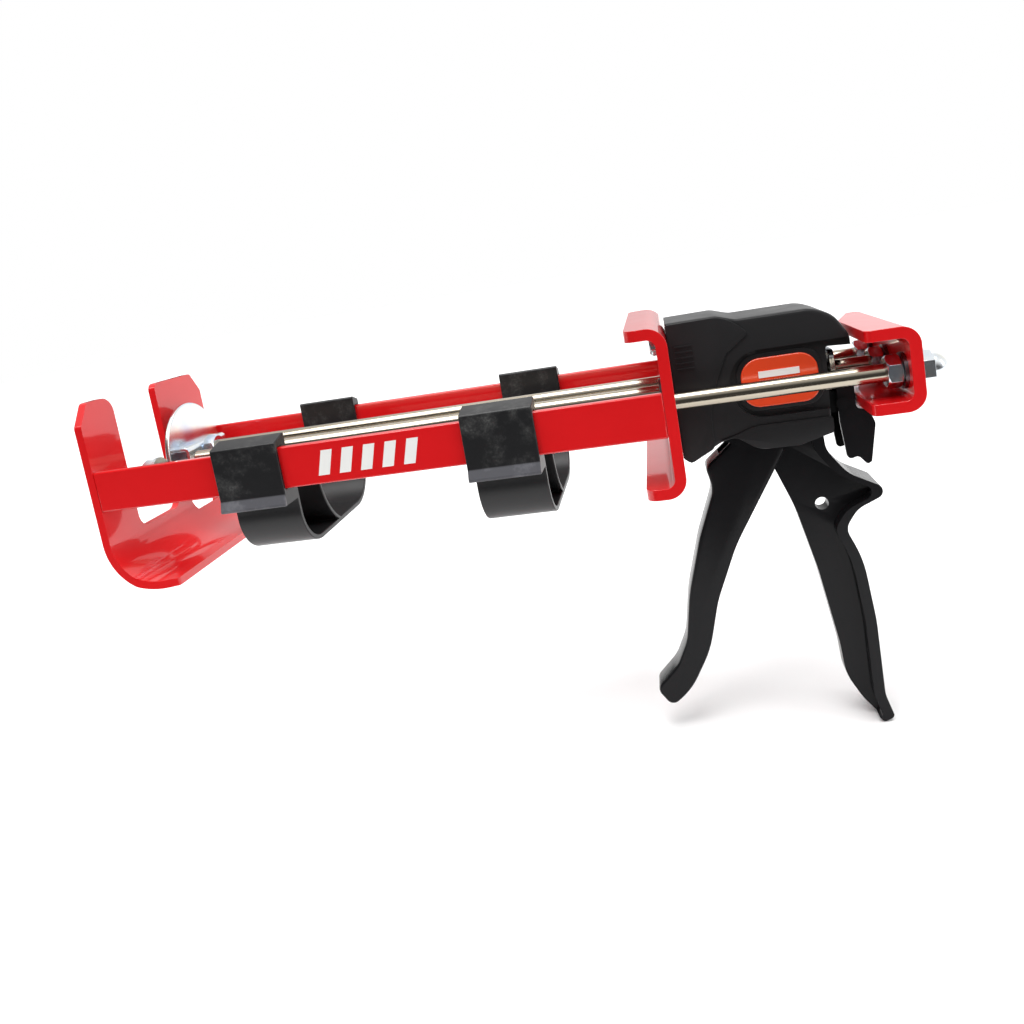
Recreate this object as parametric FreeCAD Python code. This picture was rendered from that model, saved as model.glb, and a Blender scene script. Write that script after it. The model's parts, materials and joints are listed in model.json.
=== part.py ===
import FreeCAD, Part
import math
import os

# Two-component side-by-side dispensing gun, in millimetres.
# Origin: centre of the hanging hole in the fixed handle.
# +X points to the back of the gun, -X to the nozzle, +Z up, -Y is the left side.

os.makedirs("parts", exist_ok=True)

V = FreeCAD.Vector

# ---- driving dimensions -------------------------------------------------
BAY_LENGTH = 278.0        # front plate to back plate, room for the cartridge
FRAME_HALF_WIDTH = 56.5   # centre of the frame to the outside of a rail
FRAME_OFFSET = 7.0        # centre of the frame, towards the large cylinder
RAIL_THICK = 4.0
RAIL_HEIGHT = 20.0
RAIL_BOTTOM = 51.5
PLATE_THICK = 4.0
BACK_PLATE_THICK = 5.0
BACK_PLATE_REAR = -61.5   # where the body bolts on
ROD_RADIUS = 4.0
ROD_SPACING = 29.0        # drive rod to either piston rod
ROD_Z = 63.5
COVER_HALF_WIDTH = 20.0
COVER_WALL = 2.0
CHEEK_OUTER = 11.6        # half width of the handle casting
CHEEK_INNER = 8.6
WEB_HALF = 4.0            # half thickness of the handle's web, where it hangs
TRIGGER_HALF_WIDTH = 8.0
PIVOT_X, PIVOT_Z = -30.0, 40.0
LEVER_PIN_X, LEVER_PIN_Z = 13.0, 49.0
HANG_HOLE_RADIUS = 3.1

# ---- places worked out from them ----------------------------------------
BACK_PLATE_FRONT = BACK_PLATE_REAR - BACK_PLATE_THICK
FRONT_PLATE_REAR = BACK_PLATE_FRONT - BAY_LENGTH
FRAME_LEFT = FRAME_OFFSET - FRAME_HALF_WIDTH
FRAME_RIGHT = FRAME_OFFSET + FRAME_HALF_WIDTH
RAIL_TOP = RAIL_BOTTOM + RAIL_HEIGHT
LEFT_ROD_Y = -ROD_SPACING
RIGHT_ROD_Y = ROD_SPACING


# ---- helpers -------------------------------------------------------------
def box(x0, x1, y0, y1, z0, z1):
    return Part.makeBox(x1 - x0, y1 - y0, z1 - z0, V(x0, y0, z0))


def rod_x(x0, x1, y, z, radius):
    return Part.makeCylinder(radius, x1 - x0, V(x0, y, z), V(1, 0, 0))


def rod_y(y0, y1, x, z, radius):
    return Part.makeCylinder(radius, y1 - y0, V(x, y0, z), V(0, 1, 0))


def hexagon_x(x0, x1, y, z, flats, turn=0.0):
    """A hexagonal prism along X, measured across its flats."""
    corner = flats / math.sqrt(3)
    ring = []
    for step in range(7):
        angle = math.radians(60 * step + turn)
        ring.append(V(x0, y + corner * math.cos(angle), z + corner * math.sin(angle)))
    return Part.Face(Part.makePolygon(ring)).extrude(V(x1 - x0, 0, 0))


def rounded_face(points, place):
    """A face from (a, b, corner radius) points; place turns (a, b) into a vector."""
    starts, ends, arcs = [], [], []
    count = len(points)
    for index, (a, b, radius) in enumerate(points):
        here = place(a, b)
        before = place(*points[index - 1][:2])
        after = place(*points[(index + 1) % count][:2])
        if radius <= 0:
            starts.append(here)
            ends.append(here)
            arcs.append(None)
            continue
        to_before = (before - here).normalize()
        to_after = (after - here).normalize()
        half = to_before.getAngle(to_after) / 2
        cut = radius / math.tan(half)
        middle = (to_before + to_after).normalize()
        depth = radius / math.sin(half) - radius
        starts.append(here + to_before * cut)
        ends.append(here + to_after * cut)
        arcs.append(here + middle * depth)
    edges = []
    for index in range(count):
        if arcs[index] is not None:
            edges.append(Part.Arc(starts[index], arcs[index], ends[index]).toShape())
        following = starts[(index + 1) % count]
        if ends[index].distanceToPoint(following) > 1e-6:
            edges.append(Part.LineSegment(ends[index], following).toShape())
    return Part.Face(Part.Wire(edges))


def side_prism(points, y0, y1):
    """An outline in X and Z, from y0 to y1."""
    return rounded_face(points, lambda a, b: V(a, y0, b)).extrude(V(0, y1 - y0, 0))


def front_prism(points, x0, x1):
    """An outline in Y and Z, from x0 to x1."""
    return rounded_face(points, lambda a, b: V(x0, a, b)).extrude(V(x1 - x0, 0, 0))


def plan_prism(points, z0, z1):
    """An outline in X and Y, from z0 to z1."""
    return rounded_face(points, lambda a, b: V(a, b, z0)).extrude(V(0, 0, z1 - z0))


def fillet_where(shape, radius, test):
    """Round the edges whose centre passes the test."""
    edges = [edge for edge in shape.Edges if test(edge)]
    return shape.makeFillet(radius, edges)


def inner_outline(points, gap, y=0.0):
    """The same side outline, drawn in by a gap."""
    face = rounded_face(points, lambda a, b: V(a, y, b))
    return face if gap == 0 else face.makeOffset2D(-gap, join=2)


def soft_side(points, edge_y, edge, bevel):
    """The rounded border of a side face: three slanted bands between edge_y and edge."""
    toward = 1 if edge > edge_y else -1
    layers = [(0.0, 0.0), (0.62, 0.12), (0.9, 0.42), (1.0, 1.0)]
    body = None
    for (depth0, inset0), (depth1, inset1) in zip(layers, layers[1:]):
        start = inner_outline(points, inset0 * bevel, edge_y + toward * depth0 * abs(edge - edge_y))
        end = inner_outline(points, inset1 * bevel, edge_y + toward * depth1 * abs(edge - edge_y))
        band = Part.makeLoft([start.Wires[0], end.Wires[0]], True, True)
        body = band if body is None else body.fuse(band)
    return body


def fuse(first, *others):
    return first.fuse(list(others)).removeSplitter()


def mirrored(shape):
    return shape.mirror(V(0, 0, 0), V(0, 1, 0))


def save(name, *solids):
    shape = solids[0] if len(solids) == 1 else Part.makeCompound(list(solids))
    for solid in shape.Solids:
        if not solid.isValid() or solid.Volume <= 0:
            print("invalid solid in", name)
    shape.exportStep("parts/" + name + ".step")
    print(name, len(shape.Solids), "solid(s)", round(shape.Volume / 1000, 2), "cm3")


# ---- frame -----------------------------------------------------------------
def front_plate():
    """Bent steel plate with two horns, the nozzle slot and a relief hole."""
    horn_top = 105.8
    lip_bottom = 7.6
    lip_reach = 28.0
    bend = 27.0
    slot_left = -22.0
    slot_right = 17.2
    slot_bottom = 34.6
    x0 = FRONT_PLATE_REAR - PLATE_THICK
    x1 = FRONT_PLATE_REAR
    lip_end = FRONT_PLATE_REAR + lip_reach
    section = [
        (x0, horn_top, 0), (x0, lip_bottom, bend), (lip_end, lip_bottom, 0),
        (lip_end, lip_bottom + PLATE_THICK, 0),
        (x1, lip_bottom + PLATE_THICK, bend - PLATE_THICK), (x1, horn_top, 0),
    ]
    sheet = side_prism(section, FRAME_LEFT, FRAME_RIGHT)
    horn_drop = 11.0
    horn_slant = 8.0
    corner = 8.0
    face = [
        (FRAME_LEFT, 0, 0), (FRAME_RIGHT, 0, 0), (FRAME_RIGHT, horn_top - horn_drop, 3),
        (FRAME_RIGHT - horn_slant, horn_top, 3), (slot_right, horn_top, 4),
        (slot_right, slot_bottom, 7), (slot_left, slot_bottom, 7),
        (slot_left, horn_top, corner), (FRAME_LEFT + horn_slant, horn_top, 3),
        (FRAME_LEFT, horn_top - horn_drop, 3),
    ]
    sheet = sheet.common(front_prism(face, x0 - 1, lip_end + 1))
    lip_taper = 7.5
    taper_start = x1 + 9.0
    plan = [
        (x0 - 1, FRAME_LEFT, 0), (taper_start, FRAME_LEFT, 6),
        (lip_end, FRAME_LEFT + lip_taper, 2), (lip_end, FRAME_RIGHT - lip_taper, 2),
        (taper_start, FRAME_RIGHT, 6), (x0 - 1, FRAME_RIGHT, 0),
    ]
    sheet = sheet.common(plan_prism(plan, lip_bottom - 1, horn_top + 1))
    relief = rod_x(x0 - 1, x1 + 1, 44.0, 38.6, 16.0)
    return sheet.cut(relief)


def rail(outer_y, inner_y):
    low, high = sorted((outer_y, inner_y))
    return box(FRONT_PLATE_REAR, BACK_PLATE_FRONT, low, high, RAIL_BOTTOM, RAIL_TOP)


def back_plate():
    """C-shaped plate that joins the rails to the body."""
    low, high = 24.1, 100.1
    reach = BACK_PLATE_FRONT - 13.0
    outer, inner = 9.0, 4.0
    section = [
        (BACK_PLATE_REAR, low, outer), (BACK_PLATE_REAR, high, outer), (reach, high, 0),
        (reach, high - BACK_PLATE_THICK, 0), (BACK_PLATE_FRONT, high - BACK_PLATE_THICK, inner),
        (BACK_PLATE_FRONT, low + BACK_PLATE_THICK, inner), (reach, low + BACK_PLATE_THICK, 0),
        (reach, low, 0),
    ]
    plate = side_prism(section, FRAME_LEFT, FRAME_RIGHT)
    corner = 5.0
    plan = [
        (reach, FRAME_LEFT, corner), (BACK_PLATE_REAR, FRAME_LEFT, 0),
        (BACK_PLATE_REAR, FRAME_RIGHT, 0), (reach, FRAME_RIGHT, corner),
    ]
    plate = plate.common(plan_prism(plan, low - 1, high + 1))
    x0, x1 = reach - 1, BACK_PLATE_REAR + 1
    rod_clearance = 1.0
    plate = plate.cut(rod_x(x0, x1, LEFT_ROD_Y, ROD_Z, ROD_RADIUS + rod_clearance))
    plate = plate.cut(rod_x(x0, x1, RIGHT_ROD_Y, ROD_Z, ROD_RADIUS + rod_clearance))
    plate = plate.cut(rod_x(x0, x1, 0, ROD_Z, BUSH_RADIUS))
    for y, z in BODY_SCREWS:
        plate = plate.cut(rod_x(x0, x1, y, z, SCREW_RADIUS))
    return plate


BUSH_RADIUS = 7.0
BUSH_FRONT = BACK_PLATE_FRONT - 1.5
SCREW_RADIUS = 2.5
SCREW_HEAD_RADIUS = 4.5
SCREW_HEAD_HEIGHT = 3.2
BODY_SCREWS = [(-13.0, 49.0), (13.0, 49.0), (-13.0, 88.0), (13.0, 88.0)]
FLANGE_REAR = -56.0
REAR_WALL_FRONT = -6.0
REAR_WALL_REAR = -2.0
BEARING_CLEARANCE = 0.05


def body_screws():
    """Four dome screws through the back plate into the casting."""
    screws = []
    for y, z in BODY_SCREWS:
        head_x = BACK_PLATE_FRONT - SCREW_HEAD_HEIGHT
        head = rod_x(head_x, BACK_PLATE_FRONT, y, z, SCREW_HEAD_RADIUS)
        head = fillet_where(head, 1.6, lambda edge: abs(edge.CenterOfMass.x - head_x) < 0.01)
        socket = hexagon_x(head_x - 1, head_x + 1.8, y, z, 3.2)
        shank = rod_x(BACK_PLATE_FRONT, FLANGE_REAR, y, z, SCREW_RADIUS)
        screws.append(fuse(head.cut(socket), shank))
    return screws


def bush(x0, x1):
    outer = rod_x(x0, x1, 0, ROD_Z, BUSH_RADIUS)
    return outer.cut(rod_x(x0 - 1, x1 + 1, 0, ROD_Z, ROD_RADIUS + BEARING_CLEARANCE))


# ---- fixed handle and body casting ---------------------------------------------
HANDLE_FRONT = [
    (-12.4, -0.4, 60), (-5.5, -32.0, 120), (0.6, -72.0, 80), (1.6, -88.0, 26),
    (8.2, -101.0, 30), (15.5, -110.5, 2),
]
HANDLE_REAR = [
    (20.6, -108.0, 2), (17.3, -96.0, 14), (17.2, -58.0, 90), (14.5, -27.0, 60),
    (8.2, -11.0, 7), (14.5, -2.2, 12), (26.8, 3.2, 3.5), (26.0, 7.6, 3),
    (12.0, 15.5, 18), (3.5, 28.0, 12), (3.0, 42.0, 0),
]


def handle_outline(front_shift, rear_shift):
    """The handle's side view, with its front and rear edges moved along X."""
    top = [(3.0 + rear_shift, 76.0, 0), (-20.0 + front_shift, 76.0, 0)]
    crown = [(-20.0 + front_shift, 21.0, 0)]
    rear = [(x + rear_shift, z, radius) for x, z, radius in HANDLE_REAR]
    front = [(x + front_shift, z, radius) for x, z, radius in HANDLE_FRONT]
    return crown + front + rear + top


def casting():
    """Handle web and rim, fork cheeks, rod bearings and lever ears in one casting."""
    web = side_prism(handle_outline(0, 0), -WEB_HALF, WEB_HALF)
    web = web.common(box(-60, 40, -20, 20, -120, 70))
    neck = side_prism([
        (PIVOT_X - 7, PIVOT_Z, 0), (PIVOT_X - 7, 34, 4), (-20, 20, 0), (0, 20, 0), (0, PIVOT_Z, 0),
    ], -WEB_HALF, WEB_HALF)
    eye = rod_y(-WEB_HALF, WEB_HALF, PIVOT_X, PIVOT_Z, EYE_RADIUS)
    full = side_prism(handle_outline(0, 0), -CHEEK_OUTER, CHEEK_OUTER)
    rim_depth = 5.0
    inner = side_prism(handle_outline(-40, -rim_depth), -CHEEK_OUTER - 1, CHEEK_OUTER + 1)
    rim = full.cut(inner).common(box(-2, 40, -20, 20, -112, 41))
    rim = max(rim.Solids, key=lambda solid: solid.Volume)
    head = full.common(box(-6.0, 30, -20, 20, 39, 80))
    drive_room = box(-90, REAR_WALL_FRONT, -CHEEK_INNER, CHEEK_INNER, PIVOT_Z + EYE_RADIUS, 90)
    rest_room = box(-90, REAR_WALL_FRONT, -WEB_HALF - 1, WEB_HALF + 1, PIVOT_Z, 90).cut(eye)
    body = web.fuse(neck).cut(drive_room).cut(rest_room).fuse([eye, rim, head])
    cheek_low, cheek_high = 36.0, 78.0
    for side in (-1, 1):
        y0, y1 = sorted((side * CHEEK_INNER, side * CHEEK_OUTER))
        wall = side_prism([
            (FLANGE_REAR, 44.0, 2), (PIVOT_X, cheek_low - 3, 9), (-12.0, cheek_low, 0),
            (REAR_WALL_REAR, cheek_low, 0), (REAR_WALL_REAR, cheek_high, 0),
            (FLANGE_REAR, cheek_high, 0),
        ], y0, y1)
        body = body.fuse(wall)
    flange_half = 17.0
    flange = box(BACK_PLATE_REAR, FLANGE_REAR, -flange_half, flange_half, 43.5, 93.5)
    flange = flange.cut(box(BACK_PLATE_REAR, FLANGE_REAR, -CHEEK_INNER, CHEEK_INNER, 40, 50))
    rear_wall = box(REAR_WALL_FRONT, REAR_WALL_REAR, -CHEEK_OUTER, CHEEK_OUTER, 52.0, cheek_high)
    roof = box(FLANGE_REAR, REAR_WALL_REAR, -CHEEK_OUTER, CHEEK_OUTER, cheek_high - 3, cheek_high)
    body = body.fuse([flange, rear_wall, roof])
    body = body.cut(box(REAR_WALL_REAR, 20, -20, 20, 60, 90))
    ear_reach, ear_thick = 16.4, 2.4
    ear_inner = EAR_INNER
    for side in (-1, 1):
        y0, y1 = sorted((side * ear_inner, side * (ear_inner + ear_thick)))
        ear = side_prism([
            (REAR_WALL_REAR, 44.5, 0), (ear_reach, 44.5, 3), (ear_reach, 53.5, 3),
            (REAR_WALL_REAR, 56.0, 0),
        ], y0, y1)
        body = body.fuse(ear)
    body = body.cut(box(REAR_WALL_REAR, 20, -ear_inner, ear_inner, 41.0, 90))
    body = body.cut(rod_x(BACK_PLATE_REAR - 1, FLANGE_REAR + 1, 0, ROD_Z, BUSH_RADIUS))
    body = body.cut(rod_x(REAR_WALL_FRONT - 1, REAR_WALL_REAR + 1, 0, ROD_Z, BUSH_RADIUS))
    for y, z in BODY_SCREWS:
        body = body.cut(rod_x(BACK_PLATE_REAR - 1, FLANGE_REAR + 1, y, z, SCREW_RADIUS))
    body = body.cut(rod_y(-30, 30, PIVOT_X, PIVOT_Z, PIVOT_RADIUS))
    body = body.cut(rod_y(-30, 30, LEVER_PIN_X, LEVER_PIN_Z, LEVER_PIN_RADIUS))
    body = body.cut(rod_y(-30, 30, 0, 0, HANG_HOLE_RADIUS))
    for x, z in COVER_SCREWS:
        body = body.cut(rod_y(-30, 30, x, z, COVER_SCREW_RADIUS))
    return body.removeSplitter()


PIVOT_RADIUS = 3.0
EYE_RADIUS = 7.0
LEVER_PIN_RADIUS = 2.0
EAR_INNER = 6.9
COVER_SCREW_RADIUS = 1.5
COVER_SCREW_HEAD = 3.0
COVER_SCREWS = [(-50.0, 74.6), (-14.0, 87.0), (-9.0, 42.5)]


def pivot_pin():
    """Headed pin that the trigger turns on."""
    shank = rod_y(-CHEEK_OUTER, CHEEK_OUTER + 2.2, PIVOT_X, PIVOT_Z, PIVOT_RADIUS - 0.05)
    head = rod_y(-CHEEK_OUTER - 1.6, -CHEEK_OUTER, PIVOT_X, PIVOT_Z, PIVOT_RADIUS + 1.6)
    pin = fuse(shank, head)
    groove = rod_y(CHEEK_OUTER + 0.3, CHEEK_OUTER + 1.4, PIVOT_X, PIVOT_Z, PIVOT_RADIUS + 1)
    core = rod_y(CHEEK_OUTER + 0.3, CHEEK_OUTER + 1.4, PIVOT_X, PIVOT_Z, CLIP_BORE)
    return pin.cut(groove.cut(core))


CLIP_BORE = 2.3


def pivot_clip():
    """E-shaped clip in the pin's groove."""
    y0, y1 = CHEEK_OUTER + 0.4, CHEEK_OUTER + 1.3
    ring = rod_y(y0, y1, PIVOT_X, PIVOT_Z, 5.2)
    ring = ring.cut(rod_y(y0 - 1, y1 + 1, PIVOT_X, PIVOT_Z, CLIP_BORE + 0.05))
    mouth = box(PIVOT_X - 1.7, PIVOT_X + 1.7, y0 - 1, y1 + 1, PIVOT_Z - 8, PIVOT_Z)
    return ring.cut(mouth)


def lever_pin():
    end = LEVER_HALF
    shank = rod_y(-end, end, LEVER_PIN_X, LEVER_PIN_Z, LEVER_PIN_RADIUS - 0.05)
    heads = []
    for y0, y1 in ((-end - 0.9, -end - 0.1), (end + 0.1, end + 0.9)):
        neck = rod_y(min(y0, y1 - 0.9), max(y1, y0 + 0.9), LEVER_PIN_X, LEVER_PIN_Z, LEVER_PIN_RADIUS - 0.05)
        heads.append(neck.fuse(rod_y(y0, y1, LEVER_PIN_X, LEVER_PIN_Z, LEVER_PIN_RADIUS + 0.9)))
    return fuse(shank, *heads)


# ---- covers ------------------------------------------------------------------
COVER_FRONT = BACK_PLATE_REAR + 0.2
COVER_REAR = 7.6
HOOD_TIP = 18.2
COVER_OUTLINE = [
    (COVER_FRONT, 34.0, 0), (-58.0, 31.2, 0), (-43.5, 39.2, 8), (-36.5, 40.9, 6),
    (-26.5, 33.6, 10), (-8.0, 33.4, 6), (COVER_REAR - 1.4, 37.4, 4), (COVER_REAR, 77.0, 0.8),
    (HOOD_TIP, 76.4, 0), (HOOD_TIP, 81.2, 10), (12.0, 91.2, 14), (3.0, 95.3, 18),
    (-30.0, 95.5, 10), (-38.5, 98.3, 10), (COVER_FRONT, 98.1, 0),
]


def plain_cover():
    """Left half of the plastic body cover, open towards the middle."""
    border = 2.2
    outer = side_prism(COVER_OUTLINE, -COVER_HALF_WIDTH + border, 0)
    outer = outer.fuse(soft_side(COVER_OUTLINE, -COVER_HALF_WIDTH + border, -COVER_HALF_WIDTH, border))
    hollow = inner_outline(COVER_OUTLINE, COVER_WALL)
    hollow = hollow.extrude(V(0, -(COVER_HALF_WIDTH - 2 * COVER_WALL), 0))
    shell = outer.cut(hollow)
    panel = side_prism([
        (-36.6, 48.8, 15), (25.0, 48.8, 0), (25.0, 80.2, 0), (-35.2, 80.2, 14),
    ], -COVER_HALF_WIDTH - 1, -COVER_HALF_WIDTH + PANEL_DEPTH)
    shell = shell.cut(panel)
    shell = shell.cut(side_prism(BADGE_OUTLINE, -COVER_HALF_WIDTH, -BADGE_SEAT))
    rod_window = box(COVER_REAR - 8, HOOD_TIP + 5, -EAR_WINDOW, 0.5, 38.0, 80.0)
    hood_keep = box(COVER_REAR + 0.01, HOOD_TIP + 5, -EAR_WINDOW, 0.5, 76.0, 80.0)
    front_window = box(COVER_FRONT - 1, FLANGE_REAR + 0.3, -17.2, 0.5, 42.0, 94.0)
    foot_window = box(-57.0, 6.0, -14.0, 0.5, 25.0, 44.0)
    return shell.cut([rod_window.cut(hood_keep), front_window, foot_window])


def boss_post(x, z):
    """Screw post inside a cover, above the casting."""
    return rod_y(-COVER_HALF_WIDTH + COVER_WALL + 1, 0, x, z, 3.4)


def left_cover():
    """The half with the blind screw posts."""
    x, z = COVER_SCREWS[1]
    shell = plain_cover().fuse(boss_post(x, z))
    for x, z in COVER_SCREWS:
        shell = shell.cut(rod_y(SCREW_TIP, 1, x, z, COVER_SCREW_RADIUS))
    return shell.removeSplitter()


def right_cover():
    """The half that the screws go in through."""
    x, z = COVER_SCREWS[1]
    shell = plain_cover().fuse(boss_post(x, z))
    for x, z in COVER_SCREWS:
        shell = shell.cut(rod_y(-30, 1, x, z, COVER_SCREW_RADIUS))
        seat = rod_y(-30, -COVER_HALF_WIDTH + HEAD_SEAT, x, z, COVER_SCREW_HEAD + 0.3)
        shell = shell.cut(seat)
    return mirrored(shell.removeSplitter())


SCREW_TIP = -17.4
PANEL_DEPTH = 2.0
HEAD_SEAT = 2.6
BADGE_SEAT = 17.6
EAR_WINDOW = 9.8
BADGE_OUTLINE = [(-31.2, 53.7, 8), (2.8, 53.7, 7), (3.2, 76.2, 8), (-30.6, 76.2, 9)]


def left_badge():
    plate = side_prism(BADGE_OUTLINE, -COVER_HALF_WIDTH + 0.2, -BADGE_SEAT)
    return plate


def cover_screws():
    """Screws from the right side, through the casting or the posts, into the left cover."""
    screws = []
    for x, z in COVER_SCREWS:
        head_top = COVER_HALF_WIDTH - 0.6
        seat = COVER_HALF_WIDTH - HEAD_SEAT
        head = rod_y(seat, head_top, x, z, COVER_SCREW_HEAD)
        slot = box(x - 2.2, x + 2.2, head_top - 0.8, head_top + 1, z - 0.4, z + 0.4)
        cross = box(x - 0.4, x + 0.4, head_top - 0.8, head_top + 1, z - 2.2, z + 2.2)
        shank = rod_y(SCREW_TIP + 0.2, seat, x, z, COVER_SCREW_RADIUS - 0.05)
        screws.append(fuse(head.cut([slot, cross]), shank))
    return screws


# ---- trigger and drive ---------------------------------------------------------
TRIGGER_OUTLINE = [
    (-51.8, 25.0, 3.5), (-49.6, 14.0, 16), (-59.5, -10.0, 60), (-68.2, -38.0, 90),
    (-72.5, -62.0, 30), (-79.0, -75.0, 20), (-91.0, -87.0, 4), (-84.5, -97.0, 4),
    (-73.5, -88.5, 40), (-61.5, -68.0, 60), (-54.5, -43.0, 60), (-42.0, -15.0, 90),
    (-20.5, 19.0, 20), (-13.5, 30.5, 4), (-20.0, 43.0, 6), (-38.0, 46.0, 5), (-39.0, 35.2, 2.5),
]
ARM_TIP_X, ARM_TIP_Z, ARM_TIP_RADIUS = -33.7, 54.0, 3.0
SLOT_HALF = 4.6


def trigger():
    """Trigger lever: a channel that straddles the handle's web, with an arm to the drive plate."""
    half = TRIGGER_HALF_WIDTH
    border = 2.0
    lever = side_prism(TRIGGER_OUTLINE, -half + border, half - border)
    lever = lever.fuse(soft_side(TRIGGER_OUTLINE, -half + border, -half, border))
    lever = lever.fuse(soft_side(TRIGGER_OUTLINE, half - border, half, border))
    boss = rod_y(-half, half, PIVOT_X, PIVOT_Z, 8.0)
    arm = side_prism([
        (PIVOT_X - 6.6, PIVOT_Z, 0), (PIVOT_X + 5.0, PIVOT_Z, 0),
        (ARM_TIP_X + 3.4, ARM_TIP_Z + 2.6, 3), (ARM_TIP_X - 1.0, ARM_TIP_Z + 2.6, 2),
        (ARM_TIP_X - 2.6, ARM_TIP_Z - 2.5, 0),
    ], -half, half)
    tip = rod_y(-half, half, ARM_TIP_X, ARM_TIP_Z, ARM_TIP_RADIUS)
    lever = lever.fuse([boss, arm, tip])
    front_wall = 5.0
    slot_top = PIVOT_Z + EYE_RADIUS + 1.2
    groove = [(-41.8, slot_top, 0), (-41.8, 38.0, 0)]
    groove += [(x + front_wall, z, radius) for x, z, radius in TRIGGER_OUTLINE[:5]]
    groove += [(-67.0, -75.0, 0), (0.0, -75.0, 0), (0.0, slot_top, 0)]
    lever = lever.cut(side_prism(groove, -SLOT_HALF, SLOT_HALF))
    bore = rod_y(-half - 1, half + 1, PIVOT_X, PIVOT_Z, PIVOT_RADIUS + BEARING_CLEARANCE)
    return lever.cut(bore).removeSplitter()


PLATE_REAR = ARM_TIP_X - ARM_TIP_RADIUS - 0.3
DRIVE_PLATE_THICK = 4.0


def drive_plate():
    """Hardened plate that grips the drive rod and pushes it forwards."""
    plate = front_prism([(-8, 50, 2), (8, 50, 2), (8, 74, 6), (-8, 74, 6)],
                        PLATE_REAR - DRIVE_PLATE_THICK, PLATE_REAR)
    return plate.cut(rod_x(-100, 0, 0, ROD_Z, ROD_RADIUS + 0.4))


def spring_tube(x0, x1, outer, inner):
    tube = rod_x(x0, x1, 0, ROD_Z, outer)
    return tube.cut(rod_x(x0 - 1, x1 + 1, 0, ROD_Z, inner))


# ---- release lever ----------------------------------------------------------------
BRAKE_FRONT = 9.9
BRAKE_THICK = 2.6


LEVER_HALF = 12.4
LEVER_WALL = 1.4


def release_lever():
    """Pressed channel that straddles the ears behind the body, pushed with the thumb."""
    outline = [
        (11.0, 62.0, 2), (11.0, 40.0, 20), (12.6, 22.0, 2), (17.4, 23.4, 2), (21.0, 18.8, 1.5),
        (23.0, 20.2, 1), (26.4, 38.0, 5), (24.0, 44.6, 3), (18.8, 46.0, 2), (18.8, 62.0, 3),
    ]
    lever = side_prism(outline, -LEVER_HALF, LEVER_HALF)
    wall = LEVER_WALL
    channel = side_prism([
        (0.0, 70.0, 0), (0.0, 10.0, 0), (20.0, 10.0, 0), (22.0 - wall, 21.0, 0), (26.4 - wall, 38.0, 4),
        (24.0 - wall, 44.6 - wall, 2), (18.8 - wall, 46.0 - wall, 2), (18.8 - wall, 70.0, 0),
    ], -LEVER_HALF + wall, LEVER_HALF - wall)
    lever = lever.cut(channel)
    lever = lever.cut(box(0, 30, -6.4, 6.4, 56.5, 70))
    return lever.cut(rod_y(-20, 20, LEVER_PIN_X, LEVER_PIN_Z, LEVER_PIN_RADIUS + BEARING_CLEARANCE))


def brake_plate():
    """Zinc plate that locks the drive rod against moving back."""
    x0, x1 = BRAKE_FRONT, BRAKE_FRONT + BRAKE_THICK
    plate = front_prism([(-9, 55.1, 1), (9, 55.1, 1), (9, 73.6, 4), (-9, 73.6, 4)], x0, x1)
    return plate.cut(rod_x(0, 30, 0, ROD_Z, ROD_RADIUS + 0.8))


# ---- rod carriage -------------------------------------------------------------------
YOKE_WEB_FRONT = 36.6
YOKE_THICK = 5.0
YOKE_REAR = YOKE_WEB_FRONT + YOKE_THICK
YOKE_FRONT = 19.6
YOKE_HALF = 41.0
YOKE_LOW, YOKE_HIGH = 47.2, 84.0
NUT_FLATS = 13.0
NUT_HEIGHT = 6.6
WASHER_RADIUS = 8.0
WASHER_THICK = 1.5
ROD_TAIL = YOKE_REAR + 6.0
PUSHER_FRONT = FRONT_PLATE_REAR + 7.5
PUSHER_THICK = 2.5
BRACKET_REAR = FRONT_PLATE_REAR + 18.0
SMALL_NUT_X = FRONT_PLATE_REAR + 15.5


def yoke():
    """Bent steel crosshead that ties the three rods together."""
    outer, inner = 8.0, 3.5
    section = [
        (YOKE_REAR, YOKE_LOW, outer), (YOKE_REAR, YOKE_HIGH, outer), (YOKE_FRONT, YOKE_HIGH, 0),
        (YOKE_FRONT, YOKE_HIGH - YOKE_THICK, 0),
        (YOKE_WEB_FRONT, YOKE_HIGH - YOKE_THICK, inner),
        (YOKE_WEB_FRONT, YOKE_LOW + YOKE_THICK, inner),
        (YOKE_FRONT, YOKE_LOW + YOKE_THICK, 0), (YOKE_FRONT, YOKE_LOW, 0),
    ]
    plate = side_prism(section, -YOKE_HALF, YOKE_HALF)
    plan = [
        (YOKE_FRONT, -YOKE_HALF, 3), (YOKE_REAR, -YOKE_HALF, 0), (YOKE_REAR, YOKE_HALF, 0),
        (YOKE_FRONT + 10.0, YOKE_HALF, 2), (YOKE_FRONT, 12.0, 4),
    ]
    plate = plate.common(plan_prism(plan, YOKE_LOW - 1, YOKE_HIGH + 1))
    for y in (LEFT_ROD_Y, 0, RIGHT_ROD_Y):
        plate = plate.cut(rod_x(YOKE_WEB_FRONT - 1, YOKE_REAR + 1, y, ROD_Z, ROD_RADIUS + 0.05))
    return plate


def steel_rod(x0, y):
    """A bright rod with a small chamfer at each end."""
    rod = rod_x(x0, ROD_TAIL, y, ROD_Z, ROD_RADIUS)
    return rod.makeChamfer(0.8, [edge for edge in rod.Edges if edge.Closed])


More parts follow.
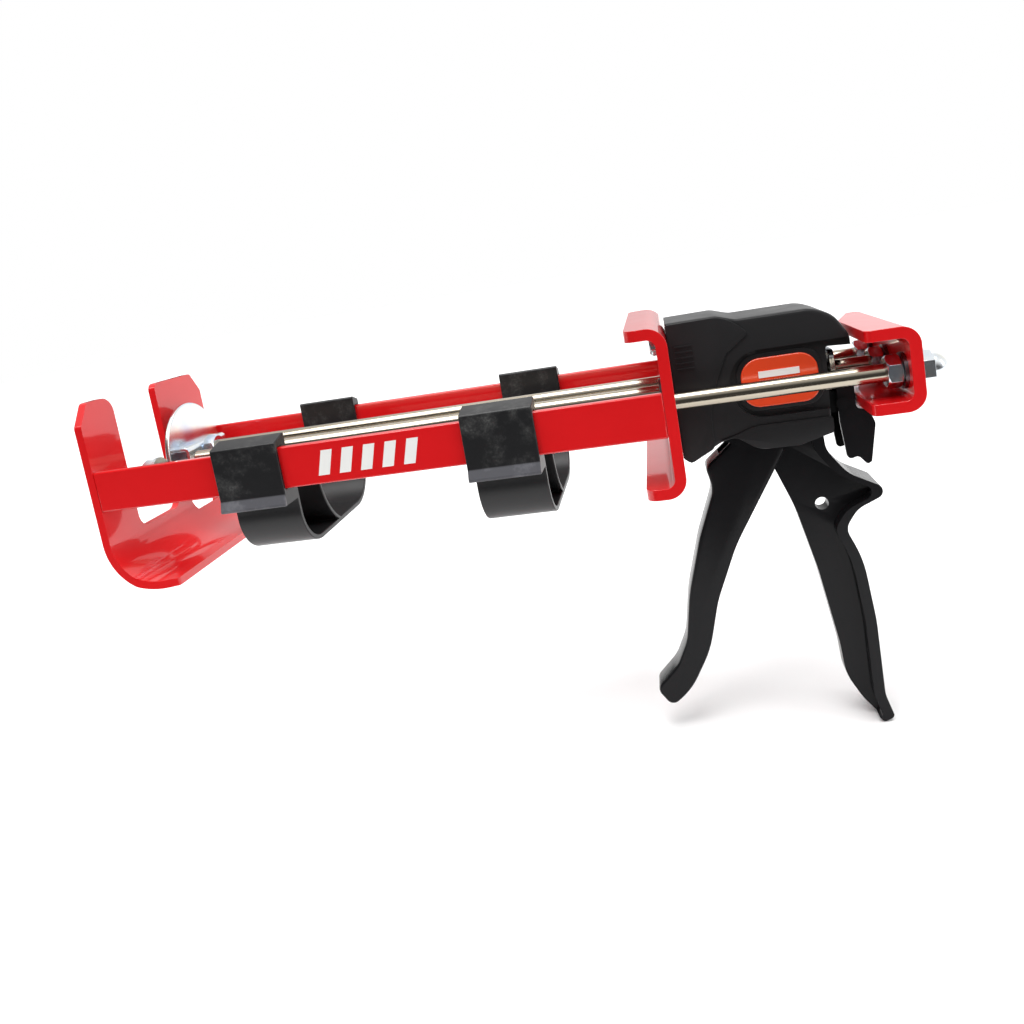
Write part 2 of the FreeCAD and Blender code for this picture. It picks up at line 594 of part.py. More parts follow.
def hex_nut(x0, y, height=NUT_HEIGHT):
    """Nut with chamfered corners on both faces."""
    nut = hexagon_x(x0, x0 + height, y, ROD_Z, NUT_FLATS, 30)
    corner = NUT_FLATS / math.sqrt(3)
    bevel = 1.1
    cone_low = Part.makeCone(corner - bevel, corner + 3, 2.4 * (3 + bevel) / 2.4,
                             V(x0, y, ROD_Z), V(1, 0, 0))
    reach = 3 + bevel
    cone_high = Part.makeCone(corner + 3, corner - bevel, reach,
                              V(x0 + height - reach, y, ROD_Z), V(1, 0, 0))
    barrel = rod_x(x0, x0 + height, y, ROD_Z, corner + 3)
    low_part = barrel.common(box(x0, x0 + height / 2, y - 20, y + 20, ROD_Z - 20, ROD_Z + 20))
    high_part = barrel.common(box(x0 + height / 2, x0 + height, y - 20, y + 20, ROD_Z - 20, ROD_Z + 20))
    keep = cone_low.common(low_part).fuse(cone_high.common(high_part))
    nut = nut.common(keep)
    return nut.cut(rod_x(x0 - 1, x0 + height + 1, y, ROD_Z, ROD_RADIUS + 0.05)).removeSplitter()


def acorn_nut(y):
    """Cap nut on the outside of the yoke."""
    x0 = YOKE_REAR
    base = hexagon_x(x0, x0 + 6.0, y, ROD_Z, NUT_FLATS, 30)
    collar = rod_x(x0, x0 + 7.0, y, ROD_Z, 5.6)
    dome = Part.makeSphere(5.6, V(x0 + 7.0, y, ROD_Z))
    cap = base.fuse([collar, dome]).common(box(x0, x0 + 20, y - 9, y + 9, ROD_Z - 9, ROD_Z + 9))
    return cap.cut(rod_x(x0 - 1, ROD_TAIL + 0.1, y, ROD_Z, ROD_RADIUS + 0.05)).removeSplitter()


def washer(x0, y):
    ring = rod_x(x0, x0 + WASHER_THICK, y, ROD_Z, WASHER_RADIUS)
    return ring.cut(rod_x(x0 - 1, x0 + 3, y, ROD_Z, ROD_RADIUS + 0.05))


def large_pusher():
    """Round plate that pushes the large piston."""
    disc = rod_x(PUSHER_FRONT, PUSHER_FRONT + PUSHER_THICK, RIGHT_ROD_Y, ROD_Z, 27.6)
    rear_face = PUSHER_FRONT + PUSHER_THICK
    return fillet_where(disc, 0.8, lambda edge: edge.Closed and edge.CenterOfMass.x < rear_face + 1)


def pusher_bracket():
    """Bent strip that joins the large rod to its pusher plate."""
    strip = 2.0
    front, rear = PUSHER_FRONT + PUSHER_THICK, BRACKET_REAR
    top = ROD_Z + 5.0
    low = top - 16.0
    section = [
        (front, top, 0), (rear, top, 2.8), (rear, low, 0), (rear - strip, low, 0),
        (rear - strip, top - strip, 0.8), (front, top - strip, 0),
    ]
    half = 21.0
    return side_prism(section, RIGHT_ROD_Y - half, RIGHT_ROD_Y + half)


# ---- cartridge cradles ----------------------------------------------------------------
CRADLE_LENGTH = 33.5
FRONT_CRADLE_X = FRONT_PLATE_REAR + 65.0
REAR_CRADLE_X = FRONT_PLATE_REAR + 187.5
CUP_LEFT = FRAME_LEFT + RAIL_THICK + 6.0
CUP_RIGHT = FRAME_RIGHT - RAIL_THICK - 1.5
CUP_WALL = 2.4
CUP_BOTTOM = 17.2
CUP_TOP = 46.3
CLIP_WALL = 2.0
CLIP_GAP = 0.3


def cup_outline(inset):
    left, right = CUP_LEFT + inset, CUP_RIGHT - inset
    low = CUP_BOTTOM + inset
    top = CUP_TOP + (0 if inset == 0 else 1)
    return [(left, low, 20 - inset), (right, low, 24 - inset), (right, top, 0), (left, top, 0)]


def rail_clip(x0, x1, outside, inside, cup_side, leg_thick):
    """Clip over one rail, joined to the cup under it; outside and inside are the rail's faces."""
    way = 1 if inside > outside else -1
    outer = outside - way * (CLIP_GAP + CLIP_WALL)
    lip = outer - way * 1.5
    inner = inside + way * CLIP_GAP
    leg = inner + way * leg_thick
    cup_inner = cup_side + way * CUP_WALL
    top = RAIL_TOP + CLIP_GAP
    bottom = RAIL_BOTTOM - CLIP_GAP
    leg_low = RAIL_TOP - 9.0
    root = CUP_TOP - 2.5
    section = [
        (outer, top + CLIP_WALL + 0.8, 1.4), (leg, top + CLIP_WALL + 3.8, 1.2), (leg, leg_low, 0.8),
        (inner, leg_low, 0), (inner, top, 0), (outer + way * CLIP_WALL, top, 0),
        (outer + way * CLIP_WALL, bottom, 0), (cup_inner, bottom, 0), (cup_inner, root, 0),
        (lip, root, 0), (lip, root + 1.4, 0.5), (outer, RAIL_BOTTOM - 2.2, 1),
    ]
    return front_prism(section, x0, x1)


def cradle(x0):
    """Plastic cradle: a small and a large channel hung between two rail clips."""
    x1 = x0 + CRADLE_LENGTH
    cup = front_prism(cup_outline(0), x0, x1).cut(front_prism(cup_outline(CUP_WALL), x0 - 1, x1 + 1))
    centre_y, centre_z, radius = 23.0, 48.6, 35.0
    ring = rod_x(x0, x1, centre_y, centre_z, radius)
    ring = ring.cut(rod_x(x0 - 1, x1 + 1, centre_y, centre_z, radius - 2.0))
    divider = ring.common(box(x0, x1, centre_y - radius, 8.0, CUP_BOTTOM + 1.0, CUP_TOP - 1.0))
    left_clip = rail_clip(x0, x1, FRAME_LEFT, FRAME_LEFT + RAIL_THICK, CUP_LEFT, 4.8)
    right_clip = rail_clip(x0, x1, FRAME_RIGHT, FRAME_RIGHT - RAIL_THICK, CUP_RIGHT, CLIP_WALL)
    return fuse(cup, divider, left_clip, right_clip)


# ---- write every node ------------------------------------------------------------------
def main():
    save("front_plate", front_plate())
    save("left_rail", rail(FRAME_LEFT, FRAME_LEFT + RAIL_THICK))
    save("right_rail", rail(FRAME_RIGHT, FRAME_RIGHT - RAIL_THICK))
    save("back_plate", back_plate())
    save("body_screws", *body_screws())
    save("front_bush", bush(BUSH_FRONT, FLANGE_REAR))
    save("rear_bush", bush(REAR_WALL_FRONT, REAR_WALL_REAR))
    save("handle_casting", casting())
    save("left_cover", left_cover())
    save("right_cover", right_cover())
    badge = left_badge()
    save("left_badge", badge)
    save("right_badge", mirrored(badge))
    save("cover_screws", *cover_screws())
    save("trigger_pin", pivot_pin())
    save("trigger_pin_clip", pivot_clip())
    save("release_pin", lever_pin())
    save("trigger", trigger())
    save("drive_plate", drive_plate())
    save("drive_spring", spring_tube(FLANGE_REAR, PLATE_REAR - DRIVE_PLATE_THICK, 7.4, 5.6))
    save("release_lever", release_lever())
    save("brake_plate", brake_plate())
    save("brake_spring", spring_tube(REAR_WALL_REAR, BRAKE_FRONT, 6.8, 5.4))
    save("yoke", yoke())
    save("drive_rod", steel_rod(FRONT_PLATE_REAR + 27.0, 0))
    save("small_piston_rod", steel_rod(SMALL_NUT_X, LEFT_ROD_Y))
    save("large_piston_rod", steel_rod(BRACKET_REAR, RIGHT_ROD_Y))
    rods = (LEFT_ROD_Y, 0, RIGHT_ROD_Y)
    washer_x = YOKE_WEB_FRONT - WASHER_THICK
    save("yoke_washers", *[washer(washer_x, y) for y in rods])
    save("yoke_nuts", *[hex_nut(washer_x - NUT_HEIGHT, y) for y in rods])
    save("cap_nuts", *[acorn_nut(y) for y in rods])
    save("large_pusher", large_pusher())
    save("pusher_bracket", pusher_bracket())
    save("bracket_nut", hex_nut(BRACKET_REAR, RIGHT_ROD_Y))
    save("small_pusher_nut", hex_nut(SMALL_NUT_X, LEFT_ROD_Y))
    save("small_pusher_washer", washer(SMALL_NUT_X + NUT_HEIGHT, LEFT_ROD_Y))
    save("front_cradle", cradle(FRONT_CRADLE_X))
    save("rear_cradle", cradle(REAR_CRADLE_X))


main()
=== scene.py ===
"""Two-component dispensing gun: finishes, detailed pieces, light and camera, in metres."""

import json
import math

import bmesh
import bpy
from mathutils import Euler, Matrix, Vector


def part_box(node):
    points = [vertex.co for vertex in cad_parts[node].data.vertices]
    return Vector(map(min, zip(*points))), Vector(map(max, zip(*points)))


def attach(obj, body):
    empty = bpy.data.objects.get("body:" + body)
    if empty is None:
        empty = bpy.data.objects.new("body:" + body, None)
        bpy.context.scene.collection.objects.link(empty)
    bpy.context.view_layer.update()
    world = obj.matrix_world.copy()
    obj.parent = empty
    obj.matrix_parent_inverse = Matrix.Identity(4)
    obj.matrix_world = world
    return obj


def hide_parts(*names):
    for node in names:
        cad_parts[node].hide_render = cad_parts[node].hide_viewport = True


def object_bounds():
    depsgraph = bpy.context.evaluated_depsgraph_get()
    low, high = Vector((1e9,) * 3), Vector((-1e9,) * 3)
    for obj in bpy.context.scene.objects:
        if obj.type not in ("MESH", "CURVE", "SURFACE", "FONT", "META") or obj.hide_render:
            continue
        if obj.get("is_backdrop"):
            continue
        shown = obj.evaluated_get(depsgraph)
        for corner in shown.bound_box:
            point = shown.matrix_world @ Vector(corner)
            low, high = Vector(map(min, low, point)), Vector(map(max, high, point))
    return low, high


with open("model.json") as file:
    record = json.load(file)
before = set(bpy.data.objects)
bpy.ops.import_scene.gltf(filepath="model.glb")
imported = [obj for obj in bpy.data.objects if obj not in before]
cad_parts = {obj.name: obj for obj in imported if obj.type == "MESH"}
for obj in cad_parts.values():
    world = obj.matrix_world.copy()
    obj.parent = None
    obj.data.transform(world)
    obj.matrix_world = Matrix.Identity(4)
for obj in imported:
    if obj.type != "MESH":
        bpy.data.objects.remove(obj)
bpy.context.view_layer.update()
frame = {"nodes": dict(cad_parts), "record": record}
MM = 0.001

# ---- finishes ------------------------------------------------------------------


class Signal:
    """A number that changes over a surface, so that shader maths reads as plain arithmetic."""

    def __init__(self, finish, socket):
        self.finish = finish
        self.socket = socket

    def maths(self, operation, first, second):
        return self.finish.node("ShaderNodeMath", {"operation": operation}, {0: first, 1: second})

    def __add__(self, other):
        return self.maths("ADD", self, other)

    def __mul__(self, other):
        return self.maths("MULTIPLY", self, other)

    def __sub__(self, other):
        return self.maths("SUBTRACT", self, other)

    def __rsub__(self, other):
        return self.maths("SUBTRACT", other, self)

    __radd__ = __add__
    __rmul__ = __mul__

    def clamped(self):
        return self.finish.node("ShaderNodeClamp", {}, {"Value": self})

    def ramp(self, low, high):
        """0 below low, 1 above high, straight between."""
        return ((self - low) * (1.0 / (high - low))).clamped()


class Finish:
    """A Principled material and the nodes that feed it."""

    def __init__(self, name, color, roughness, metallic=0.0, coat=0.0, coat_roughness=0.1, specular=0.5):
        self.material = bpy.data.materials.new(name)
        self.material.use_nodes = True
        self.tree = self.material.node_tree
        self.shader = self.tree.nodes["Principled BSDF"]
        plain = {
            "Base Color": (*color, 1.0), "Roughness": roughness, "Metallic": metallic,
            "Coat Weight": coat, "Coat Roughness": coat_roughness, "Specular IOR Level": specular,
        }
        for socket, value in plain.items():
            self.shader.inputs[socket].default_value = value
        self.material.diffuse_color = (*color, 1.0)

    def node(self, kind, settings, inputs, output=0):
        made = self.tree.nodes.new(kind)
        for key, value in settings.items():
            setattr(made, key, value)
        for key, value in inputs.items():
            if isinstance(value, Signal):
                self.tree.links.new(value.socket, made.inputs[key])
            else:
                made.inputs[key].default_value = value
        return Signal(self, made.outputs[output])

    def place(self):
        return self.node("ShaderNodeTexCoord", {}, {}, "Object")

    def noise(self, scale, detail=3.0, roughness=0.55, stretch=(1, 1, 1)):
        """Noise between about 0.3 and 0.7; scale is in patches per metre."""
        turned = self.node("ShaderNodeMapping", {}, {"Vector": self.place(), "Scale": stretch})
        return self.node(
            "ShaderNodeTexNoise", {}, {"Vector": turned, "Scale": scale, "Detail": detail, "Roughness": roughness}
        )

    def part_of_place(self, axis):
        return self.node("ShaderNodeSeparateXYZ", {}, {"Vector": self.place()}, axis)

    def blend(self, amount, first, second):
        """A colour between two colours."""
        made = self.tree.nodes.new("ShaderNodeMix")
        made.data_type = "RGBA"
        self.tree.links.new(amount.socket, made.inputs[0])
        for slot, value in ((6, first), (7, second)):
            if isinstance(value, Signal):
                self.tree.links.new(value.socket, made.inputs[slot])
            else:
                made.inputs[slot].default_value = (*value, 1.0)
        return Signal(self, made.outputs[2])

    def feed(self, socket, signal):
        self.tree.links.new(signal.socket, self.shader.inputs[socket])
        return self

    def bump(self, height, distance, strength=1.0):
        made = self.node("ShaderNodeBump", {}, {"Height": height, "Distance": distance, "Strength": strength})
        return self.feed("Normal", made)


def powder_coat():
    """Gloss red with a faint orange peel."""
    red = (0.66, 0.006, 0.009)
    finish = Finish("red_powder_coat", red, 0.32, coat=0.85, coat_roughness=0.05, specular=0.2)
    patches = finish.noise(16).ramp(0.3, 0.7)
    finish.feed("Base Color", finish.blend(patches, (0.64, 0.005, 0.007), (0.70, 0.007, 0.010)))
    finish.feed("Roughness", finish.noise(60) * 0.10 + 0.25)
    return finish.bump(finish.noise(420, 2.0), 0.00012, 0.05)


def cover_plastic():
    """Satin black with a fine grain."""
    finish = Finish("satin_cover_plastic", (0.020, 0.020, 0.021), 0.34, specular=0.12)
    finish.feed("Roughness", finish.noise(90) * 0.16 + 0.26)
    return finish.bump(finish.noise(2600, 1.0), 0.00006, 0.25)


FRAME_MIDDLE = 0.007
LIP_SIDE = 0.0585
LIP_EDGE = 0.0005
LIP_TOP = (0.0492, 0.0496)
CLIP_FOOT = (0.044, 0.052)
BARE_PLASTIC = (0.011, 0.011, 0.012)
PALE_DUST = (0.30, 0.30, 0.29)
OUTER_LIP_GREY = (0.17, 0.17, 0.19)


def cradle_plastic():
    """Dark plastic with pale handling dust on the clips; the outer faces of its lower lips are painted a lighter
    grey.
    """
    finish = Finish("dusty_cradle_plastic", (0.012, 0.012, 0.013), 0.40, specular=0.35)
    patches = finish.noise(70, 6.0, 0.7).ramp(0.5, 0.74)
    grain = finish.noise(900, 3.0, 0.7).ramp(0.42, 0.7)
    dust = patches * (grain * 0.75 + 0.25) * 0.35
    height = finish.part_of_place("Z").ramp(*CLIP_FOOT)
    off_middle = finish.part_of_place("Y") - FRAME_MIDDLE
    side = off_middle * off_middle
    # the outermost side faces below the lip top are painted a lighter grey, in patches
    outside = side.ramp(LIP_SIDE ** 2, (LIP_SIDE + LIP_EDGE) ** 2)
    lip = outside * (1 - finish.part_of_place("Z").ramp(*LIP_TOP))
    dusty = finish.blend(dust * height, BARE_PLASTIC, PALE_DUST)
    finish.feed("Base Color", finish.blend(lip * (patches * 0.5 + 0.5), dusty, OUTER_LIP_GREY))
    finish.feed("Roughness", dust * 0.4 + 0.36)
    return finish.bump(finish.noise(1500, 2.0), 0.00006, 0.3)


def black_casting():
    """Gloss black enamel over a slightly uneven casting."""
    finish = Finish("black_gloss_casting", (0.009, 0.009, 0.010), 0.24, specular=0.14)
    finish.feed("Roughness", finish.noise(120) * 0.10 + 0.18)
    return finish.bump(finish.noise(340, 3.0), 0.00012, 0.35)


def zinc():
    """Blue-white plating with faint yellow patches."""
    finish = Finish("zinc_plate", (0.72, 0.74, 0.78), 0.24, metallic=1.0)
    tint = finish.noise(55, 3.0).ramp(0.35, 0.68)
    finish.feed("Base Color", finish.blend(tint, (0.62, 0.69, 0.80), (0.84, 0.82, 0.72)))
    finish.feed("Roughness", finish.noise(300, 3.0) * 0.10 + 0.17)
    return finish


def bright_steel():
    """Drawn bar with streaks along its length."""
    finish = Finish("drawn_steel", (0.60, 0.57, 0.50), 0.16, metallic=1.0)
    streaks = finish.noise(260, 3.0, 0.6, (0.02, 1, 1)).ramp(0.3, 0.7)
    finish.feed("Base Color", finish.blend(streaks, (0.34, 0.30, 0.235), (0.52, 0.47, 0.385)))
    finish.feed("Roughness", streaks * 0.1 + 0.12)
    return finish


def dark_steel():
    return Finish("oiled_steel", (0.16, 0.16, 0.17), 0.35, metallic=1.0)


def spring_steel():
    return Finish("spring_steel", (0.42, 0.42, 0.44), 0.28, metallic=1.0)


def badge_gloss():
    return Finish("orange_badge", (0.80, 0.065, 0.015), 0.25, coat=0.5, coat_roughness=0.05)


FINISHES = {
    "red_paint": powder_coat(), "black_casting": black_casting(), "cover_plastic": cover_plastic(),
    "cradle_plastic": cradle_plastic(), "badge": badge_gloss(), "bright_steel": bright_steel(),
    "zinc": zinc(), "dark_steel": dark_steel(), "spring_steel": spring_steel(),
}
WHITE_PRINT = Finish("white_print", (0.86, 0.86, 0.84), 0.4)

SLOT_OF = {part["node"]: part["material_slot"] for part in frame["record"]["subparts"]}
BODY_OF = {
    node: body for body, nodes in frame["record"]["behaviour"]["bodies"].items() for node in nodes
}

for node, item in frame["nodes"].items():
    item.data.materials.clear()
    item.data.materials.append(FINISHES[SLOT_OF[node]].material)


# ---- making pieces ----------------------------------------------------------------


SHARP_EDGE = math.radians(35)
MERGE_DISTANCE = 1e-6
FLAT_ENOUGH = math.radians(0.4)
ROUNDED_EDGE = math.radians(32)


def finished(bm, name, node, finish=None, instead_of=()):
    """Turns a bmesh into a piece that rides with the node's body."""
    mesh = bpy.data.meshes.new(name)
    bm.to_mesh(mesh)
    bm.free()
    for face in mesh.polygons:
        face.use_smooth = True
    mesh.set_sharp_from_angle(angle=SHARP_EDGE)
    piece = bpy.data.objects.new(name, mesh)
    bpy.context.scene.collection.objects.link(piece)
    mesh.materials.append((finish or FINISHES[SLOT_OF[node]]).material)
    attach(piece, BODY_OF[node])
    if instead_of:
        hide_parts(*instead_of)
    return piece


def merged_copy(node):
    """The node's mesh with its loose triangles joined and its flat faces whole."""
    bm = bmesh.new()
    bm.from_mesh(frame["nodes"][node].data)
    bmesh.ops.remove_doubles(bm, verts=bm.verts, dist=MERGE_DISTANCE)
    bmesh.ops.dissolve_limit(
        bm, angle_limit=FLAT_ENOUGH, verts=bm.verts, edges=bm.edges, use_dissolve_boundaries=False
    )
    return bm


def softened(node, width_mm):
    """The node's own shape with its hard edges rounded."""
    piece = finished(merged_copy(node), node + "_piece", node, instead_of=(node,))
    bevel = piece.modifiers.new("round_edges", "BEVEL")
    bevel.width = width_mm * MM
    bevel.segments = 2
    bevel.limit_method = "ANGLE"
    bevel.angle_limit = ROUNDED_EDGE
    bevel.harden_normals = False
    return piece


SOFT_EDGES = {
    "front_plate": 0.7, "left_rail": 0.7, "right_rail": 0.7, "back_plate": 0.7, "yoke": 0.7,
    "front_cradle": 0.4, "rear_cradle": 0.4, "handle_casting": 1.8, "trigger": 0.5,
    "release_lever": 0.5, "left_badge": 0.4, "right_badge": 0.4, "left_cover": 0.5, "right_cover": 0.5,
    "pusher_bracket": 0.3, "brake_plate": 0.3, "yoke_nuts": 0.15, "cap_nuts": 0.15,
    "bracket_nut": 0.15, "small_pusher_nut": 0.15, "body_screws": 0.2,
}
for node, width in SOFT_EDGES.items():
    softened(node, width)

# ---- body cover ---------------------------------------------------------------------


SLAB_RIM = 0.7


def slab(outline, y_low, y_high):
    """A flat slab from an outline of (x, z, corner) in mm; its high side has a rounded rim."""
    bm = bmesh.new()
    verts = [bm.verts.new((x * MM, y_low * MM, z * MM)) for x, z, corner in outline]
    bm.faces.new(verts)
    for vert, (x, z, corner) in zip(verts, outline):
        if corner:
            bmesh.ops.bevel(
                bm, geom=[vert], offset=corner * MM, offset_type="OFFSET", affect="VERTICES",
                segments=6, profile=0.5, material=-1,
            )
    grown = bmesh.ops.extrude_face_region(bm, geom=bm.faces[:])
    raised = {item for item in grown["geom"] if isinstance(item, bmesh.types.BMVert)}
    bmesh.ops.translate(bm, verts=list(raised), vec=(0, (y_high - y_low) * MM, 0))
    bmesh.ops.recalc_face_normals(bm, faces=bm.faces)
    top = [edge for edge in bm.edges if edge.verts[0] in raised and edge.verts[1] in raised]
    bmesh.ops.bevel(
        bm, geom=top, offset=SLAB_RIM * MM, offset_type="OFFSET", affect="EDGES", segments=3,
        profile=0.5, material=-1, clamp_overlap=True,
    )
    return bm


SLAB_ROOT, SLAB_FACE = -19.0, -20.7
FRONT_BLOCK = [
    (-61.2, 34.2, 0.8), (-57.9, 31.6, 1.5), (-46.2, 37.6, 2), (-46.6, 54.0, 8), (-40.5, 72.0, 12),
    (-36.0, 80.5, 5), (-25.0, 88.6, 2), (-29.6, 93.2, 4), (-34.5, 96.4, 3), (-38.6, 97.7, 3),
    (-61.2, 97.5, 1),
]
LOWER_BAND = [
    (-43.8, 40.4, 1), (-36.5, 42.2, 3), (-27.9, 45.4, 4), (6.8, 45.4, 1), (6.9, 38.6, 2), (5.9, 37.9, 0.6),
    (-8.0, 34.1, 4), (-26.3, 34.3, 5), (-36.5, 41.5, 2),
]
BADGE_FRAME = [(-33.4, 51.6, 9), (5.0, 51.6, 8), (5.4, 78.4, 9), (-32.8, 78.4, 10)]


def on_both_sides(make, name, finish=None):
    """Makes a left piece and its mirror image."""
    for side in (-1, 1):
        node = "left_cover" if side < 0 else "right_cover"
        bm = make()
        if side > 0:
            bmesh.ops.scale(bm, vec=(1, -1, 1), verts=bm.verts)
            bmesh.ops.recalc_face_normals(bm, faces=bm.faces)
        finished(bm, node + "_" + name, node, finish)


def bar(bm, centre, size):
    """Adds a block to a bmesh; centre and size are in mm."""
    block = bmesh.ops.create_cube(bm, size=1.0)["verts"]
    bmesh.ops.scale(bm, vec=[part * MM for part in size], verts=block)
    bmesh.ops.translate(bm, vec=[part * MM for part in centre], verts=block)


def vents():
    """Five fine ribs at the front of the cover."""
    whole = bmesh.new()
    for step in range(5):
        bar(whole, (-54.6, -20.8, 76.4 + step * 2.6), (8.0, 0.8, 0.7))
    return whole


def badge_rim():
    """The low frame round the badge."""
    return slab(BADGE_FRAME, -17.6, -18.5)


def badge_bars():
    """Two plain raised bars on the badge."""
    whole = bmesh.new()
    for z, half in ((68.6, 9.0), (62.0, 6.0)):
        bar(whole, (-14.0, -19.9, z), (2 * half, 0.5, 3.0))
    return whole


on_both_sides(lambda: slab(FRONT_BLOCK, SLAB_ROOT, SLAB_FACE), "front_block")
on_both_sides(lambda: slab(LOWER_BAND, SLAB_ROOT, SLAB_FACE), "lower_band")
on_both_sides(vents, "vents")
on_both_sides(badge_rim, "badge_rim")
on_both_sides(badge_bars, "badge_bars", WHITE_PRINT)


HEADS_FROM_Y = 0.0165
FRONT_BLOCK_REAR = -0.040
LOWER_BAND_TOP = 0.050
HEAD_LIFT = 0.0014


def cover_screws():
    """The cover's screws; two heads come out to the face of the slab that lies over them."""
    bm = merged_copy("cover_screws")
    heads = [vert for vert in bm.verts if vert.co.y > HEADS_FROM_Y]
    buried = [
        vert for vert in heads if vert.co.x < FRONT_BLOCK_REAR or vert.co.z < LOWER_BAND_TOP
    ]
    bmesh.ops.translate(bm, verts=buried, vec=(0, HEAD_LIFT, 0))
    return finished(bm, "cover_screws_piece", "cover_screws", instead_of=("cover_screws",))


cover_screws()

# ---- coil springs ------------------------------------------------------------------


WIRE_SIDES = 10
STEPS_PER_TURN = 28


def coil(node, turns, wire_mm):
    """A coil wound along X that fills the node's box."""
    low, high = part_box(node)
    wire = wire_mm / 2 * MM
    centre = (low + high) / 2
    radius = (high.z - low.z) / 2 - wire
    length = high.x - low.x - 2 * wire
    bm = bmesh.new()
    place = Matrix.Translation((low.x + wire, centre.y, centre.z + radius))
    start = place @ Matrix.Rotation(math.pi / 2, 4, "X")
    bmesh.ops.create_circle(bm, cap_ends=False, radius=wire, segments=WIRE_SIDES, matrix=start)
    steps = int(turns * STEPS_PER_TURN)
    bmesh.ops.spin(
        bm, geom=bm.verts[:] + bm.edges[:], cent=centre, axis=(1, 0, 0), dvec=(length / steps, 0, 0),
        angle=2 * math.pi * turns, steps=steps, use_merge=False, use_duplicate=False,
    )
    ends = [edge for edge in bm.edges if edge.is_boundary]
    bmesh.ops.holes_fill(bm, edges=ends, sides=0)
    bmesh.ops.remove_doubles(bm, verts=bm.verts, dist=MERGE_DISTANCE)
    bmesh.ops.recalc_face_normals(bm, faces=bm.faces)
    return finished(bm, node + "_coil", node, instead_of=(node,))


coil("drive_spring", 4.5, 1.7)
coil("brake_spring", 4.5, 1.4)

# ---- white print on the left rail ------------------------------------------------------


BARS = 5
BAR_START, BAR_PITCH, BAR_WIDTH, BAR_LEAN = -228.5, 10.5, 5.5, 3.4
BAR_LOW, BAR_HEIGHT = 55.6, 11.8
PRINT_THICKNESS = 0.00006


def print_bar(name, left):
    """One slanted printed bar, a hair proud of the rail; left is its lower front corner."""
    face_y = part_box("left_rail")[0].y
    right, top = left + BAR_WIDTH, BAR_LOW + BAR_HEIGHT
    bm = bmesh.new()
    corners = [(left, BAR_LOW), (right, BAR_LOW), (right + BAR_LEAN, top), (left + BAR_LEAN, top)]
    ring = [bm.verts.new((x * MM, face_y - PRINT_THICKNESS, z * MM)) for x, z in corners]
    face = bm.faces.new(ring)
    grown = bmesh.ops.extrude_face_region(bm, geom=[face])
    moved = [item for item in grown["geom"] if isinstance(item, bmesh.types.BMVert)]
    bmesh.ops.translate(bm, verts=moved, vec=(0, PRINT_THICKNESS, 0))
    bmesh.ops.recalc_face_normals(bm, faces=bm.faces)
    return finished(bm, name, "left_rail", WHITE_PRINT)


for index in range(BARS):
    print_bar("rail_bar_%d" % index, BAR_START + index * BAR_PITCH)

# ---- floor, light and camera ------------------------------------------------------------


BRIGHT_SIDE = (0.50, 0.25, 0.80)
SKY_STOPS = [(0.0, 0.10), (0.25, 0.60), (0.6, 1.25)]


def studio_sky():
    """Bright overhead and behind the gun, dark in front of it, and plain white to the camera."""
    world = bpy.data.worlds.new("studio")
    bpy.context.scene.world = world
    world.use_nodes = True
    tree = world.node_tree
    sky = tree.nodes["Background"]
    place = tree.nodes.new("ShaderNodeTexCoord")
    towards = tree.nodes.new("ShaderNodeVectorMath")
    towards.operation = "DOT_PRODUCT"
    tree.links.new(place.outputs["Generated"], towards.inputs[0])
    towards.inputs[1].default_value = BRIGHT_SIDE
    bands = tree.nodes.new("ShaderNodeValToRGB")
    first, last = bands.color_ramp.elements
    middle = bands.color_ramp.elements.new(SKY_STOPS[1][0])
    for stop, (position, level) in zip((first, middle, last), SKY_STOPS):
        stop.position = position
        stop.color = (level, level, level, 1)
    tree.links.new(towards.outputs["Value"], bands.inputs[0])
    path = tree.nodes.new("ShaderNodeLightPath")
    choice = tree.nodes.new("ShaderNodeMix")
    choice.data_type = "RGBA"
    tree.links.new(path.outputs["Is Camera Ray"], choice.inputs[0])
    tree.links.new(bands.outputs[0], choice.inputs[6])
    choice.inputs[7].default_value = (1, 1, 1, 1)
    tree.links.new(choice.outputs[2], sky.inputs["Color"])
    sky.inputs["Strength"].default_value = 1.0


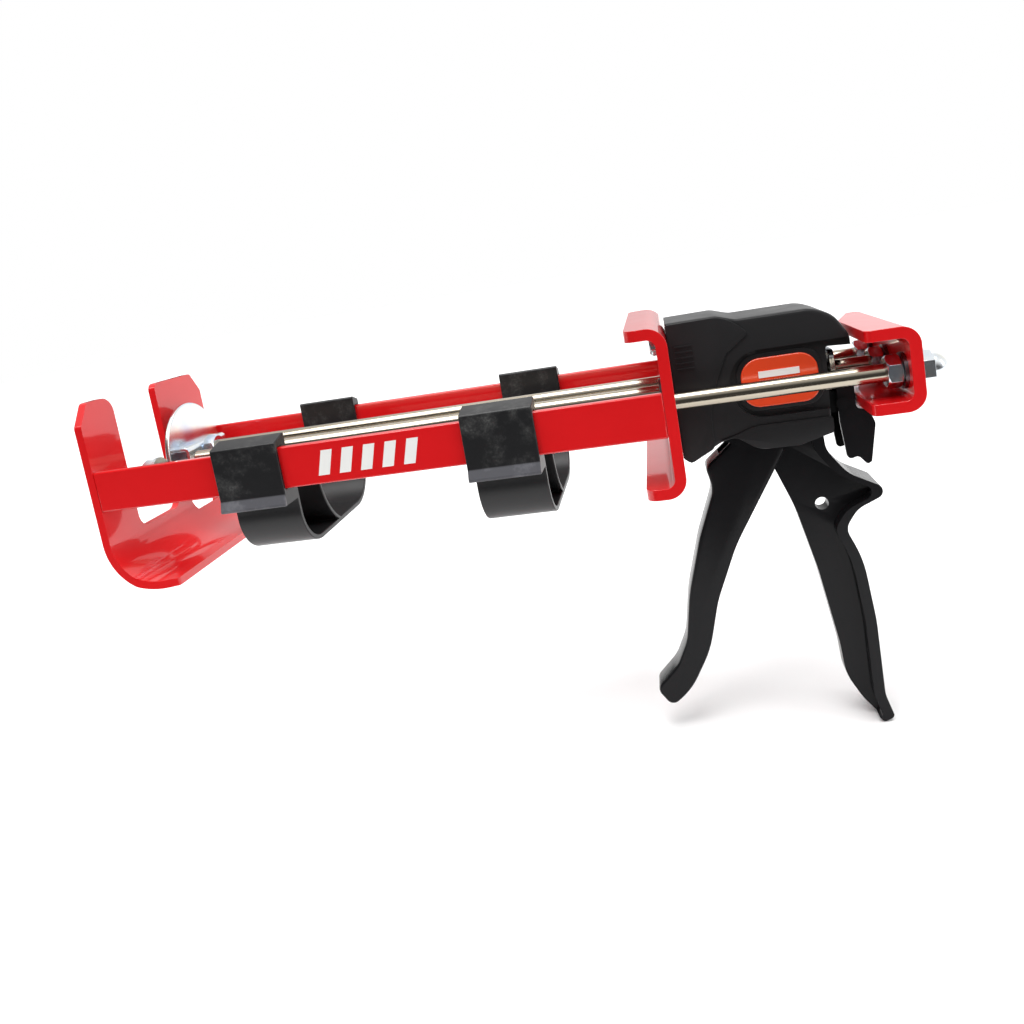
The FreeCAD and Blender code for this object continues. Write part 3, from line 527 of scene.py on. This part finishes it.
FLOOR_SIZE = 12.0
FLOOR_AHEAD = 0.32
FLOOR_GAP = 0.0005


def stage():
    """A pale floor under and behind the gun."""
    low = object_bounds()[0]
    middle = FLOOR_SIZE / 2 - FLOOR_AHEAD
    bpy.ops.mesh.primitive_plane_add(size=FLOOR_SIZE, location=(0, middle, low.z - FLOOR_GAP))
    floor = bpy.context.object
    floor.name = "floor"
    floor.data.materials.append(Finish("pale_floor", (0.93, 0.93, 0.93), 0.95, specular=0.0).material)
    floor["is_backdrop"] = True


def sun(turn, strength, spread):
    """Wide, soft daylight from overhead; turn is its X, Y and Z rotation in degrees."""
    lamp = bpy.data.lights.new("overhead", "SUN")
    lamp.energy = strength
    lamp.angle = math.radians(spread)
    item = bpy.data.objects.new("overhead", lamp)
    bpy.context.scene.collection.objects.link(item)
    item.rotation_euler = [math.radians(part) for part in turn]


def softbox(name, place, aim, size, power):
    """A rectangular lamp at place, turned to face aim."""
    lamp = bpy.data.lights.new(name, "AREA")
    lamp.shape = "RECTANGLE"
    lamp.size, lamp.size_y = size
    lamp.energy = power
    item = bpy.data.objects.new(name, lamp)
    bpy.context.scene.collection.objects.link(item)
    item.location = place
    item.rotation_euler = (Vector(aim) - Vector(place)).to_track_quat("-Z", "Y").to_euler()


def camera():
    lens = bpy.data.cameras.new("camera")
    lens.lens = 29.99
    lens.sensor_width = 36.0
    lens.shift_x = 0.0055
    lens.shift_y = -0.1167
    lens.clip_start = 0.01
    item = bpy.data.objects.new("camera", lens)
    bpy.context.scene.collection.objects.link(item)
    item.location = (-0.0631, -0.4169, 0.1350)
    item.rotation_euler = Euler([math.radians(turn) for turn in (81.778, 9.7565, 9.4689)], "XYZ")
    bpy.context.scene.camera = item


studio_sky()
stage()
sun((12, 0, -20), 2.2, 40)
softbox("key_light", (-0.8, -0.7, 1.2), (-0.15, 0, 0.03), (0.7, 0.7), 6)
softbox("side_light", (1.1, -0.5, 0.4), (0, 0, 0.03), (0.3, 0.9), 2.5)
camera()
bpy.context.scene.view_settings.view_transform = "Standard"
